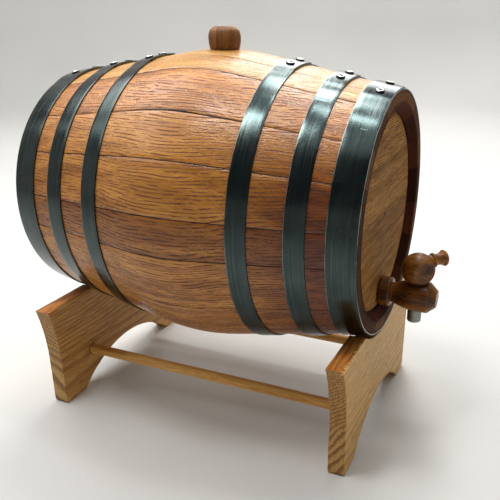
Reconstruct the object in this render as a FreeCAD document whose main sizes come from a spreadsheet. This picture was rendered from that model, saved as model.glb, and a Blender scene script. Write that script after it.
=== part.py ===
import FreeCAD, Part
import math
import os

import Sketcher

# Oak cask liquor dispenser: a five litre coopered cask lying on a two-board stand,
# with a bung on top and a turned wooden tap in its front head.
# Millimetres.  The cask axis is along X with the tap toward +X, Z is up, and the
# origin is under the middle of the whole object, on the surface that it stands on.
# Angles about the cask are in degrees from the top, positive toward -Y.

V = FreeCAD.Vector
X_AXIS = V(1, 0, 0)
Z_AXIS = V(0, 0, 1)

doc = FreeCAD.newDocument("oak_cask_dispenser")

# ---------------------------------------------------------------- driving sizes

SIZES = {
    # cask: the bent staves
    "cask_length": 254,
    "bilge_radius": 105,
    "chime_radius": 83.5,
    "stave_thickness": 15,
    "bend_half": 26,
    "stave_joint": 0.1,
    "bilge_clear": 58,
    # chimes: the stave ends beyond each head, and the groove that holds the head
    "chime_land": 9,
    "chime_edge": 1,
    "head_recess": 5.5,
    "croze_depth": 3,
    # heads
    "head_thickness": 10,
    "rim_setback": 1.5,
    "rim_thickness": 5,
    "rim_bevel": 3,
    "rim_clearance": 0.15,
    "head_board_width": 36,
    "front_board_turn": 2,
    "rear_board_turn": -14,
    # hoops
    "hoop_thickness": 0.9,
    "hoop_clearance": 0.05,
    "hoop_ramp": 9,
    "hoop_end": 6.5,
    "head_hoop_width": 18.5,
    "quarter_hoop_width": 12.7,
    "bilge_hoop_width": 12.7,
    # how far each hoop is driven on, from the stave ends to its middle
    "front_head_hoop_inset": 9.3,
    "front_quarter_hoop_inset": 37.3,
    "front_bilge_hoop_inset": 72.8,
    "rear_head_hoop_inset": 9.3,
    "rear_quarter_hoop_inset": 39.8,
    "rear_bilge_hoop_inset": 73.4,
    # hoop laps: the angle of the middle of each, and the pitch of its two rivets
    "front_head_lap_at": 5.2,
    "front_quarter_lap_at": 2.8,
    "front_bilge_lap_at": 2.2,
    "rear_head_lap_at": 2.9,
    "rear_quarter_lap_at": 0.5,
    "rear_bilge_lap_at": 2.8,
    "head_rivet_pitch": 24,
    "quarter_rivet_pitch": 18,
    "bilge_rivet_pitch": 17,
    "rivet_head_radius": 3,
    "rivet_head_height": 1.3,
    "rivet_crest_radius": 1.9,
    "rivet_dimple_radius": 1.2,
    "rivet_dimple_depth": 0.7,
    "rivet_shank_radius": 1.5,
    "rivet_clearance": 0.05,
    # bung
    "bung_hole_radius": 9.7,
    "bung_taper": 0.9,
    "bung_clearance": 0.1,
    "bung_seat_radius": 10.3,
    "bung_belly_radius": 11.3,
    "bung_belly_height": 7.5,
    "bung_shoulder_height": 12.4,
    "bung_shoulder_radius": 10,
    "bung_height": 14.8,
    "bung_top_radius": 6.5,
    # tap body
    "tap_from_staves": 11.8,
    "tenon_radius": 7,
    "tenon_taper": 0.8,
    "tenon_proud": 6,
    "tenon_clearance": 0.05,
    "collar_radius": 10.7,
    "collar_length": 9.5,
    "collar_edge": 2.4,
    "neck_radius": 7.4,
    "neck_length": 1.4,
    "tap_body_radius": 11.2,
    "tap_swell_length": 17.6,
    "tap_straight_length": 7.2,
    "nose_length": 5.9,
    "nose_radius": 6.1,
    "flow_radius": 2.5,
    # tap key: a tapered metal tube that turns in the tap body, under a wooden ball
    "key_at": 26.5,
    "key_turn": 40,
    "stem_radius": 5.5,
    "stem_taper": 0.5,
    "stem_clearance": 0.07,
    "stem_below": 19.5,
    "stem_edge": 1,
    "stem_into_ball": 8,
    "spout_radius": 3.7,
    "spout_above": 4,
    "port_radius": 2,
    "ball_radius": 11.9,
    "ball_height": 20.3,
    "ball_clearance": 0.5,
    "ball_flat": 8.7,
    "ball_flat_turn": -88,
    # key handle
    "handle_height": 4.2,
    "handle_rise": 7,
    "handle_reach": 21.7,
    "handle_root_radius": 4.5,
    "handle_root": 5,
    "handle_fit": 0.05,
    "bead_start": 10,
    "bead_radius": 5.4,
    "bead_length": 2.6,
    "handle_neck_radius": 4,
    "handle_neck_at": 13.8,
    "handle_end_radius": 5.9,
    "handle_end_edge": 2.6,
    # stand
    "cradle_thickness": 12.2,
    "front_cradle_inset": 1.2,
    "rear_cradle_inset": 8.8,
    "front_tip_half": 95,
    "rear_tip_half": 92.5,
    "front_seat_depth": 12.8,
    "rear_seat_depth": 8.3,
    "seat_gap": 0.3,
    "front_foot_half": 83,
    "rear_foot_half": 85.5,
    "waist_height": 37,
    "arch_half": 62,
    "arch_height": 24.5,
    "dowel_radius": 4,
    "dowel_height": 32,
    "dowel_half_spacing": 48.5,
    "dowel_socket": 8,
    "dowel_clearance": 0.05,
    "dowel_end_gap": 0.3,
}

# Stave widths as parts of one turn, from the bung stave round by the -Y side.
# They are jointed by eye, so that no two neighbours match.
STAVE_WIDTHS = [25, 12, 21.5, 17.9, 19.6, 14.5, 22.5, 18, 21,
                19.5, 22.5, 19, 21.5, 20, 22, 19.5, 23, 21]
BOARDS_IN_A_HEAD = 4

for number, width in enumerate(STAVE_WIDTHS, start=1):
    SIZES["stave_width_%02d" % number] = width

sheet = doc.addObject("Spreadsheet::Sheet", "Sizes")
for row, (alias, size) in enumerate(SIZES.items(), start=1):
    sheet.set("A%d" % row, alias)
    sheet.set("B%d" % row, str(size))
    sheet.setAlias("B%d" % row, alias)
doc.recompute()


def size_of(expression):
    """The number that an expression on the sheet has now."""
    number = sheet.evalExpression(str(expression))
    return float(getattr(number, "Value", number))


# ------------------------------------------------------------- shared expressions

HALF = "(Sizes.cask_length / 2)"
SLOPE = ("((Sizes.bilge_radius - Sizes.chime_radius)"
         " / (%s - Sizes.bend_half / 2))" % HALF)
SLANT = "sqrt(1 + %s^2)" % SLOPE
HEAD_FACE = "(%s - Sizes.head_recess)" % HALF
CASK_UP = "(Sizes.bilge_radius + Sizes.bilge_clear)"


def stave_outside(along):
    """Radius of the straight part of a stave's outside, that far from the middle."""
    return "(Sizes.chime_radius + (%s - %s) * %s)" % (HALF, along, SLOPE)


def stave_inside(along):
    return "(%s - Sizes.stave_thickness * %s)" % (stave_outside(along), SLANT)


def degrees_of(length, radius):
    """Angle of an arc of that length and radius."""
    return "((%s) * 180 / (pi * %s))" % (length, radius)


# the bent middle of the outside is an arc, tangent to the straight parts
BEND_CENTRE = "(%s - Sizes.bend_half / %s)" % (stave_outside("Sizes.bend_half"), SLOPE)
BEND_RADIUS = "(Sizes.bend_half * %s / %s)" % (SLANT, SLOPE)
CROWN = "(%s + %s)" % (BEND_CENTRE, BEND_RADIUS)

TAP_UP = "(%s - %s + Sizes.tap_from_staves)" % (CASK_UP, stave_inside(HEAD_FACE))
KEY_ALONG = "(%s + Sizes.key_at)" % HEAD_FACE

# how far forward the tap's nose and the handle's rounded end reach
HANDLE_FORWARD = "(cos(Sizes.key_turn * 1 deg) * cos(Sizes.handle_rise * 1 deg))"
HANDLE_FRONT = (
    "(%s + (Sizes.handle_reach - Sizes.handle_end_edge) * %s"
    " + (Sizes.handle_end_radius - Sizes.handle_end_edge) * sqrt(1 - %s^2)"
    " + Sizes.handle_end_edge)" % (KEY_ALONG, HANDLE_FORWARD, HANDLE_FORWARD))
NOSE_FRONT = (
    "(%s + Sizes.collar_length + Sizes.neck_length + Sizes.tap_swell_length"
    " + Sizes.tap_straight_length + Sizes.nose_length)" % HEAD_FACE)
FORWARD = "((max(%s; %s) - %s) / 2)" % (HANDLE_FRONT, NOSE_FRONT, HALF)


# ------------------------------------------------------------------------- placing

def moved(x="0", y="0", z="0"):
    return "placement(vector(%s; %s; %s); rotation(vector(1; 0; 0); 0))" % (x, y, z)


def turned(axis, angle):
    """A turn about the line through the origin along "x", "y" or "z"."""
    x, y, z = (int(axis == name) for name in "xyz")
    return ("placement(vector(0; 0; 0); rotation(vector(%d; %d; %d); (%s) * 1 deg))"
            % (x, y, z, angle))


CASK_MIDDLE = moved("-" + FORWARD, "0", CASK_UP)
KEY_CENTRE = moved("%s - %s" % (KEY_ALONG, FORWARD), "0", TAP_UP)
BALL_CENTRE = KEY_CENTRE + " * " + moved("0", "0", "Sizes.ball_height")


def place(piece, *steps):
    """Bind a piece's placement to the sheet, as one move or turn after another."""
    piece.setExpression("Placement", " * ".join(steps))


# ------------------------------------------------------------------------- drawing

def arc_centre(start, end, known, value):
    """Centre of the arc from start to end, from one of its two coordinates."""
    (x1, y1), (x2, y2) = start, end
    spread = (x2 ** 2 - x1 ** 2) + (y2 ** 2 - y1 ** 2)
    if known == "Y":
        return (spread - 2 * value * (y2 - y1)) / (2 * (x2 - x1)), value
    return value, (spread - 2 * value * (x2 - x1)) / (2 * (y2 - y1))


def draw_arc(sketch, start, end, centre):
    """Draw the shorter arc; gives its number and its vertices at start and end."""
    cx, cy = centre
    start_angle = math.atan2(start[1] - cy, start[0] - cx)
    end_angle = math.atan2(end[1] - cy, end[0] - cx)
    radius = math.hypot(start[0] - cx, start[1] - cy)
    circle = Part.Circle(V(cx, cy, 0), Z_AXIS, radius)
    if (end_angle - start_angle) % (2 * math.pi) < math.pi:
        arc = Part.ArcOfCircle(circle, start_angle, end_angle)
        return sketch.addGeometry(arc), 1, 2
    arc = Part.ArcOfCircle(circle, end_angle, start_angle)
    return sketch.addGeometry(arc), 2, 1


def bind(sketch, name, kind, geometry, vertex, expression):
    """Hold one coordinate of a vertex at an expression on the sheet."""
    held = Sketcher.Constraint(kind, geometry, vertex, size_of(expression))
    sketch.renameConstraint(sketch.addConstraint(held), name)
    sketch.setExpression("Constraints." + name, str(expression))


def draw_outline(sketch, corners, arcs=None):
    """Draw a closed outline through corners, each a pair of expressions.

    arcs gives, for the number of an edge, ("X" or "Y", expression): the coordinate
    that fixes the centre of its arc.  The other edges are straight.
    """
    arcs = arcs or {}
    points = [(size_of(x), size_of(y)) for x, y in corners]
    edges = []
    for number, start in enumerate(points):
        end = points[(number + 1) % len(points)]
        if number in arcs:
            known, expression = arcs[number]
            centre = arc_centre(start, end, known, size_of(expression))
            edges.append(draw_arc(sketch, start, end, centre))
        else:
            line = Part.LineSegment(V(start[0], start[1], 0), V(end[0], end[1], 0))
            edges.append((sketch.addGeometry(line), 1, 2))
    for number, (geometry, _, last) in enumerate(edges):
        following, first, _ = edges[(number + 1) % len(edges)]
        joined = Sketcher.Constraint("Coincident", geometry, last, following, first)
        sketch.addConstraint(joined)
    for number, (x, y) in enumerate(corners):
        geometry, first, _ = edges[number]
        bind(sketch, "x%d" % number, "DistanceX", geometry, first, x)
        bind(sketch, "y%d" % number, "DistanceY", geometry, first, y)
    for number, (known, expression) in arcs.items():
        kind = "Distance" + known
        bind(sketch, "centre%d" % number, kind, edges[number][0], 3, expression)


def section_sketch(name):
    """A free sketch whose two directions are X and Z."""
    sketch = doc.addObject("Sketcher::SketchObject", name)
    sketch.Placement = FreeCAD.Placement(V(0, 0, 0), FreeCAD.Rotation(X_AXIS, 90))
    return sketch


def revolved(name, sketch, axis, angle="360"):
    solid = doc.addObject("Part::Revolution", name)
    solid.Source = sketch
    solid.Axis = axis
    solid.Solid = True
    solid.setExpression("Angle", angle)
    return solid


def cut(name, base, tool):
    result = doc.addObject("Part::Cut", name)
    result.Base = base
    result.Tool = tool
    return result


def tapered_hole(name, low_radius, high_radius, length, *steps):
    hole = doc.addObject("Part::Cone", name)
    hole.setExpression("Radius1", low_radius)
    hole.setExpression("Radius2", high_radius)
    hole.setExpression("Height", length)
    place(hole, *steps)
    return hole


# ------------------------------------------------------------------- bodies' tools

def new_body(name, *steps):
    body = doc.addObject("PartDesign::Body", name)
    place(body, *steps)
    return body


def body_sketch(body, name, role="XZ_Plane", turn=None):
    """A sketch on one of the body's planes, turned about its own first direction."""
    sketch = body.newObject("Sketcher::SketchObject", name)
    for feature in body.Origin.OriginFeatures:
        if feature.Role == role:
            sketch.AttachmentSupport = (feature, [""])
    sketch.MapMode = "FlatFace"
    if turn is not None:
        sketch.setExpression("AttachmentOffset", turned("x", turn))
    doc.recompute()
    return sketch


def revolve(body, sketch, axis, angle="360", backward=False):
    """Turn a sketch about its own first (H_Axis) or second (V_Axis) direction."""
    feature = body.newObject("PartDesign::Revolution", sketch.Name + "_turned")
    feature.Profile = sketch
    feature.ReferenceAxis = (sketch, [axis])
    feature.Reversed = backward
    feature.setExpression("Angle", angle)
    doc.recompute()


def drill(body, name, radius, length, *steps):
    """Cut a round hole that runs along its own Z, and make sure that it cuts."""
    before = body.Shape.Volume
    hole = body.newObject("PartDesign::SubtractiveCylinder", name)
    hole.setExpression("Radius", radius)
    hole.setExpression("Height", length)
    place(hole, *steps)
    doc.recompute()
    if not body.Shape.Volume < before:
        raise RuntimeError("%s cuts nothing" % name)


pieces = []


def keep(piece):
    piece.Label = piece.Name
    pieces.append(piece)


# -------------------------------------------------------------------------- staves

def stave_section():
    """Half section of the wall: a bent middle, straight ends, chimes and crozes."""
    bend = "Sizes.bend_half"
    inner_share = "(1 - Sizes.stave_thickness / %s)" % BEND_RADIUS
    edge = "(%s - Sizes.chime_edge)" % HALF
    croze_front = "(%s - Sizes.rim_setback + Sizes.rim_clearance)" % HEAD_FACE
    croze_back = "(%s - Sizes.rim_thickness - 2 * Sizes.rim_clearance)" % croze_front
    croze_floor = "(%s + Sizes.croze_depth)" % stave_inside(croze_front)
    front = [
        (bend, stave_outside(bend)),
        (edge, stave_outside(edge)),
        (HALF, "Sizes.chime_radius - Sizes.chime_edge"),
        (HALF, "Sizes.chime_radius - Sizes.chime_land"),
        (HEAD_FACE, stave_inside(HEAD_FACE)),
        (croze_front, stave_inside(croze_front)),
        (croze_front, croze_floor),
        (croze_back, croze_floor),
        (croze_back, stave_inside(croze_back)),
        ("(%s * %s)" % (bend, inner_share), "(%s + (%s - %s) * %s)" % (
            BEND_CENTRE, stave_outside(bend), BEND_CENTRE, inner_share)),
    ]
    rear = [("-" + x, y) for x, y in reversed(front)]
    inner_bend = len(front) - 1
    outer_bend = 2 * len(front) - 1
    sketch = section_sketch("stave_section")
    draw_outline(sketch, front + rear,
                 {inner_bend: ("Y", BEND_CENTRE), outer_bend: ("Y", BEND_CENTRE)})
    return sketch


def make_staves():
    section = stave_section()
    turn = " + ".join("Sizes.stave_width_%02d" % (number + 1)
                      for number in range(len(STAVE_WIDTHS)))
    joint = degrees_of("Sizes.stave_joint", "Sizes.bilge_radius")
    start = "-180 * Sizes.stave_width_01 / (%s)" % turn
    for number in range(1, len(STAVE_WIDTHS) + 1):
        width = "360 * Sizes.stave_width_%02d / (%s)" % (number, turn)
        name = "stave_%02d" % number if number > 1 else "bung_stave_blank"
        stave = revolved(name, section, X_AXIS, "%s - %s" % (width, joint))
        place(stave, CASK_MIDDLE, turned("x", "%s + %s / 2" % (start, joint)))
        if number == 1:
            stave = bore_bung_stave(stave)
        keep(stave)
        start = "%s + %s" % (start, width)


def bore_bung_stave(blank):
    """The tapered bung hole goes through the middle of the bung stave."""
    hole_radius = "Sizes.bung_hole_radius + Sizes.bung_clearance"
    hole = tapered_hole(
        "bung_hole", hole_radius + " - 2 * Sizes.bung_taper",
        hole_radius + " + Sizes.bung_taper", "3 * Sizes.stave_thickness",
        CASK_MIDDLE, moved("0", "0", CROWN + " - 2 * Sizes.stave_thickness"))
    return cut("bung_stave", blank, hole)


# --------------------------------------------------------------------------- heads

def head_section():
    """Half section of a head: a flat panel, bevelled to a thinner rim."""
    rim_front = "(%s - Sizes.rim_setback)" % HEAD_FACE
    rim_back = "(%s - Sizes.rim_thickness)" % rim_front
    back = "(%s - Sizes.head_thickness)" % HEAD_FACE
    wall = stave_inside(rim_front)
    rim = "(%s + Sizes.croze_depth - Sizes.rim_clearance)" % wall
    shoulder = "(%s - 2 * Sizes.rim_clearance)" % wall
    panel = "(%s - Sizes.rim_bevel)" % shoulder
    sketch = section_sketch("head_section")
    draw_outline(sketch, [
        (back, "0"),
        (HEAD_FACE, "0"),
        (HEAD_FACE, panel),
        (rim_front, shoulder),
        (rim_front, rim),
        (rim_back, rim),
        (rim_back, shoulder),
        (back, panel),
    ])
    return sketch


def make_heads():
    """Each head is cut round from boards that are jointed edge to edge."""
    section = head_section()
    front = revolved("front_head_blank", section, X_AXIS)
    place(front, CASK_MIDDLE)
    bore_radius = "Sizes.tenon_radius + Sizes.tenon_clearance"
    bore = tapered_hole(
        "tap_bore", bore_radius + " - Sizes.tenon_taper", bore_radius,
        "Sizes.head_thickness",
        moved("%s - Sizes.head_thickness - %s" % (HEAD_FACE, FORWARD), "0", TAP_UP),
        turned("y", "90"))
    rear = revolved("rear_head_blank", section, X_AXIS)
    place(rear, CASK_MIDDLE, turned("z", "180"))
    saw_into_boards("front", cut("front_head_bored", front, bore), HALF)
    saw_into_boards("rear", rear, "-" + HALF)


def saw_into_boards(end, head, chime):
    across = "(2 * Sizes.bilge_radius)"
    reach = "(2 * (Sizes.head_recess + Sizes.head_thickness))"
    middle_joint = BOARDS_IN_A_HEAD / 2
    for number in range(1, BOARDS_IN_A_HEAD + 1):
        low = "(%g * Sizes.head_board_width)" % (number - 1 - middle_joint)
        high = "(%g * Sizes.head_board_width)" % (number - middle_joint)
        if number == 1:
            low = "(-Sizes.bilge_radius)"
        if number == BOARDS_IN_A_HEAD:
            high = "Sizes.bilge_radius"
        strip = doc.addObject("Part::Box", "%s_strip_%d" % (end, number))
        strip.setExpression("Length", reach)
        strip.setExpression("Width", across)
        strip.setExpression("Height", "%s - %s" % (high, low))
        place(strip, CASK_MIDDLE, turned("x", "Sizes.%s_board_turn" % end),
              moved("%s - %s / 2" % (chime, reach), "-%s / 2" % across, low))
        board = doc.addObject("Part::Common", "%s_head_board_%d" % (end, number))
        board.Base = head
        board.Tool = strip
        keep(board)


# ---------------------------------------------------------------- hoops and rivets

def hoop_section(sketch, side, middle, width, layer):
    """Sloping section of the strip: layer 0 lies on the staves, layer 1 over it."""
    inner = "(%s - %s / 2)" % (middle, width)
    outer = "(%s + %s / 2)" % (middle, width)
    under = "((Sizes.hoop_clearance + %d * Sizes.hoop_thickness) * %s)" % (layer, SLANT)
    over = "(%s + Sizes.hoop_thickness * %s)" % (under, SLANT)
    draw_outline(sketch, [
        (side + inner, "%s + %s" % (stave_outside(inner), under)),
        (side + outer, "%s + %s" % (stave_outside(outer), under)),
        (side + outer, "%s + %s" % (stave_outside(outer), over)),
        (side + inner, "%s + %s" % (stave_outside(inner), over)),
    ])


def rivet_section():
    """Half section of a rivet about Z: a rounded head, dimpled by the setting punch.

    The underside of the head is at zero.
    """
    shank = "2 * Sizes.hoop_thickness + Sizes.hoop_clearance / 2"
    rise = "Sizes.rivet_head_height"
    dimple = "%s - Sizes.rivet_dimple_depth" % rise
    sketch = section_sketch("rivet_section")
    draw_outline(sketch, [
        ("0", "-(%s)" % shank),
        ("Sizes.rivet_shank_radius", "-(%s)" % shank),
        ("Sizes.rivet_shank_radius", "0"),
        ("Sizes.rivet_head_radius", "0"),
        ("Sizes.rivet_crest_radius", rise),
        ("Sizes.rivet_dimple_radius", dimple),
        ("0", dimple),
    ], {3: ("X", "Sizes.rivet_crest_radius")})
    return sketch


def make_hoop(end, name, rivets_from):
    """One strip of steel: round the cask, up over its own start, and riveted there."""
    label = "%s_%s_hoop" % (end, name)
    side = "" if end == "front" else "-"
    width = "Sizes.%s_hoop_width" % name
    middle = "(%s - Sizes.%s_%s_hoop_inset)" % (HALF, end, name)
    radius = stave_outside(middle)
    pitch = "Sizes.%s_rivet_pitch" % name
    lap_middle = "Sizes.%s_%s_lap_at" % (end, name)
    half_lap = degrees_of("%s / 2 + Sizes.hoop_end" % pitch, radius)
    ramp = degrees_of("Sizes.hoop_ramp", radius)
    lap_start = "(%s + %s)" % (lap_middle, half_lap)

    body = new_body(label, CASK_MIDDLE)
    strip = body_sketch(body, label + "_strip", turn=lap_start)
    hoop_section(strip, side, middle, width, 0)
    revolve(body, strip, "H_Axis", "360 - " + ramp, backward=True)
    foot = body_sketch(body, label + "_ramp_foot", turn="%s + %s" % (lap_start, ramp))
    hoop_section(foot, side, middle, width, 0)
    top = body_sketch(body, label + "_ramp_top", turn=lap_start)
    hoop_section(top, side, middle, width, 1)
    climb = body.newObject("PartDesign::AdditiveLoft", label + "_ramp")
    climb.Profile = foot
    climb.Sections = [top]
    climb.Ruled = True
    lap = body_sketch(body, label + "_lap", turn=lap_start)
    hoop_section(lap, side, middle, width, 1)
    revolve(body, lap, "H_Axis", "2 * " + half_lap, backward=True)

    lean = side + "atan(%s)" % SLOPE
    rivets = []
    for number, sign in enumerate(("-", "+"), start=1):
        turn = "%s %s %s" % (lap_middle, sign, degrees_of(pitch + " / 2", radius))
        at = [turned("x", turn), moved(side + middle, "0", radius),
              turned("y", lean + " / 1 deg")]
        drill(body, "%s_rivet_hole_%d" % (label, number),
              "Sizes.rivet_shank_radius + Sizes.rivet_clearance",
              "6 * Sizes.hoop_thickness", *at, moved("0", "0", "-2 * Sizes.hoop_thickness"))
        rivet = revolved("%s_rivet_%d" % (label, number), rivets_from, Z_AXIS)
        place(rivet, CASK_MIDDLE, *at, moved(
            "0", "0", "2 * Sizes.hoop_thickness + 2 * Sizes.hoop_clearance"))
        rivets.append(rivet)
    group = doc.addObject("Part::Compound", label + "_rivets")
    group.Links = rivets
    keep(body)
    keep(group)


def make_hoops():
    rivets_from = rivet_section()
    for end in ("front", "rear"):
        for name in ("head", "quarter", "bilge"):
            make_hoop(end, name, rivets_from)


# ---------------------------------------------------------------------------- bung

def make_bung():
    """A turned bung: a tapered shank in the hole under a barrel-shaped head."""
    body = new_body("bung", CASK_MIDDLE, moved("0", "0", CROWN))
    shank_end = "(Sizes.bung_hole_radius - Sizes.bung_taper)"
    sketch = body_sketch(body, "bung_section")
    belly_share = "(Sizes.bung_belly_height / 2)"
    draw_outline(sketch, [
        ("0", "-Sizes.stave_thickness"),
        (shank_end + " - Sizes.bung_clearance", "-Sizes.stave_thickness"),
        (shank_end, "-Sizes.stave_thickness + Sizes.bung_clearance"),
        ("Sizes.bung_hole_radius", "0"),
        ("Sizes.bung_seat_radius", "0"),
        ("Sizes.bung_belly_radius", "Sizes.bung_belly_height"),
        ("Sizes.bung_shoulder_radius", "Sizes.bung_shoulder_height"),
        ("Sizes.bung_top_radius", "Sizes.bung_height"),
        ("0", "Sizes.bung_height"),
    ], {
        4: ("Y", "Sizes.bung_belly_height"),
        5: ("Y", "Sizes.bung_belly_height"),
        6: ("Y", belly_share),
    })
    revolve(body, sketch, "V_Axis")
    keep(body)


# ----------------------------------------------------------------------------- tap

def make_tap_body():
    """The spigot: tenon, collar, neck and body, turned in one and cross-bored."""
    name = "spigot_body"
    body = new_body(name + "_turning",
                    moved("%s - %s" % (HEAD_FACE, FORWARD), "0", TAP_UP))
    edge = "Sizes.collar_edge"
    collar_end = "Sizes.collar_length"
    neck_end = "(Sizes.collar_length + Sizes.neck_length)"
    full = "(%s + Sizes.tap_swell_length)" % neck_end
    straight_end = "(%s + Sizes.tap_straight_length)" % full
    nose = "(%s + Sizes.nose_length)" % straight_end
    tenon_end = "(Sizes.head_thickness + Sizes.tenon_proud)"
    end_radius = ("(Sizes.tenon_radius - Sizes.tenon_taper * %s / Sizes.head_thickness)"
                  % tenon_end)
    face_gap = "Sizes.tenon_clearance"
    sketch = body_sketch(body, name + "_section")
    draw_outline(sketch, [
        ("-" + tenon_end, "0"),
        ("-" + tenon_end, end_radius),
        (face_gap, "Sizes.tenon_radius"),
        (face_gap, "Sizes.collar_radius - %s" % edge),
        ("%s + %s" % (face_gap, edge), "Sizes.collar_radius"),
        ("%s - %s" % (collar_end, edge), "Sizes.collar_radius"),
        (collar_end, "Sizes.collar_radius - %s" % edge),
        (collar_end, "Sizes.neck_radius"),
        (neck_end, "Sizes.neck_radius"),
        (full, "Sizes.tap_body_radius"),
        (straight_end, "Sizes.tap_body_radius"),
        (nose, "Sizes.nose_radius"),
        (nose, "0"),
    ], {
        3: ("X", "%s + %s" % (face_gap, edge)),
        5: ("X", "%s - %s" % (collar_end, edge)),
        8: ("X", full),
    })
    revolve(body, sketch, "H_Axis")
    drill(body, name + "_flow_bore", "Sizes.flow_radius", tenon_end + " + Sizes.key_at",
          moved("-" + tenon_end), turned("y", "90"))

    reach = "(Sizes.ball_height + Sizes.stem_below)"
    top_radius = "(Sizes.stem_radius + Sizes.stem_clearance)"
    socket = tapered_hole(
        "key_socket", top_radius + " - Sizes.stem_taper", top_radius, reach,
        KEY_CENTRE, moved("0", "0", "-Sizes.stem_below"))
    ball_room = doc.addObject("Part::Sphere", "ball_room")
    ball_room.setExpression("Radius", "Sizes.ball_radius + Sizes.ball_clearance")
    place(ball_room, BALL_CENTRE)
    keep(cut(name, cut(name + "_bored", body, socket), ball_room))


def make_key_stem():
    """The metal tube that turns in the tap: its lower end is the spout."""
    body = new_body("key_stem_tube", KEY_CENTRE, turned(
        "z", "Sizes.key_turn + Sizes.ball_flat_turn"))
    top = "(Sizes.ball_height - Sizes.ball_radius + Sizes.stem_into_ball)"
    bottom = "(-Sizes.stem_below)"
    reach = "(Sizes.ball_height + Sizes.stem_below)"
    low_radius = "(Sizes.stem_radius - Sizes.stem_taper)"
    top_radius = "(%s + Sizes.stem_taper * (%s - %s) / %s)" % (
        low_radius, top, bottom, reach)
    sketch = body_sketch(body, "key_stem_section")
    draw_outline(sketch, [
        ("0", "Sizes.spout_above"),
        ("Sizes.spout_radius", "Sizes.spout_above"),
        ("Sizes.spout_radius", bottom),
        ("%s - Sizes.stem_edge" % low_radius, bottom),
        (low_radius, "%s + Sizes.stem_edge" % bottom),
        (top_radius, top),
        ("0", top),
    ], {3: ("Y", "%s + Sizes.stem_edge" % bottom)})
    revolve(body, sketch, "V_Axis")
    drill(body, "key_port", "Sizes.port_radius", "2 * Sizes.stem_radius",
          turned("y", "90"))
    keep(body)


def make_key_ball():
    """The wooden ball on the stem: one flat, and a bore and a seat for the handle."""
    body = new_body("key_ball", BALL_CENTRE, turned("z", "Sizes.key_turn"))
    ball = body.newObject("PartDesign::AdditiveSphere", "key_ball_round")
    ball.setExpression("Radius", "Sizes.ball_radius")
    doc.recompute()
    ball_size = "(2 * Sizes.ball_radius)"
    flat = body.newObject("PartDesign::SubtractiveBox", "key_ball_flat")
    flat.setExpression("Length", ball_size)
    flat.setExpression("Width", ball_size)
    flat.setExpression("Height", ball_size)
    place(flat, turned("z", "Sizes.ball_flat_turn"),
          moved("Sizes.ball_flat", "-Sizes.ball_radius", "-Sizes.ball_radius"))
    fit = "Sizes.handle_fit"
    drill(body, "handle_bore", "Sizes.handle_root_radius + " + fit,
          "2 * Sizes.ball_radius", *handle_steps(),
          moved("Sizes.handle_root - " + fit), turned("y", "90"))
    drill(body, "bead_seat", "Sizes.bead_radius + " + fit,
          "Sizes.ball_radius", *handle_steps(),
          moved("Sizes.bead_start - " + fit), turned("y", "90"))
    drill(body, "stem_bore", "Sizes.stem_radius + Sizes.stem_clearance",
          "Sizes.stem_into_ball + Sizes.stem_clearance",
          moved("0", "0", "-Sizes.ball_radius"))
    keep(body)


def handle_steps():
    return (moved("0", "0", "Sizes.handle_height"), turned("y", "-Sizes.handle_rise"))


def make_key_handle():
    """The turned handle: a root in the ball, a bead, a waist and a flared end."""
    body = new_body("key_handle", BALL_CENTRE, turned("z", "Sizes.key_turn"),
                    *handle_steps())
    bead_end = "(Sizes.bead_start + Sizes.bead_length)"
    bead_middle = "(Sizes.bead_start + Sizes.bead_length / 2)"
    end_edge = "Sizes.handle_end_edge"
    flare = "(Sizes.handle_reach - %s)" % end_edge
    sketch = body_sketch(body, "key_handle_section")
    draw_outline(sketch, [
        ("Sizes.handle_root", "0"),
        ("Sizes.handle_root", "Sizes.handle_root_radius"),
        ("Sizes.bead_start", "Sizes.handle_root_radius"),
        (bead_middle, "Sizes.bead_radius"),
        (bead_end, "Sizes.handle_root_radius"),
        ("Sizes.handle_neck_at", "Sizes.handle_neck_radius"),
        (flare, "Sizes.handle_end_radius"),
        ("Sizes.handle_reach", "Sizes.handle_end_radius - " + end_edge),
        ("Sizes.handle_reach", "0"),
    ], {
        2: ("X", bead_middle),
        3: ("X", bead_middle),
        5: ("X", "Sizes.handle_neck_at"),
        6: ("X", flare),
    })
    revolve(body, sketch, "H_Axis")
    keep(body)


# --------------------------------------------------------------------------- stand

FRONT_CRADLE_BACK = "(%s - Sizes.front_cradle_inset - Sizes.cradle_thickness)" % HALF
REAR_CRADLE_FRONT = "(%s - Sizes.rear_cradle_inset - Sizes.cradle_thickness)" % HALF


def seat_radius(end, cradle_face):
    """The seat clears the widest steel that lies over the board."""
    hoop_edge = ("(%s - Sizes.%s_head_hoop_inset - Sizes.head_hoop_width / 2)"
                 % (HALF, end))
    widest = "max(%s; %s)" % (cradle_face, hoop_edge)
    steel = "(Sizes.hoop_clearance + Sizes.hoop_thickness) * %s" % SLANT
    return "(%s + %s + Sizes.seat_gap)" % (stave_outside(widest), steel)


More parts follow.
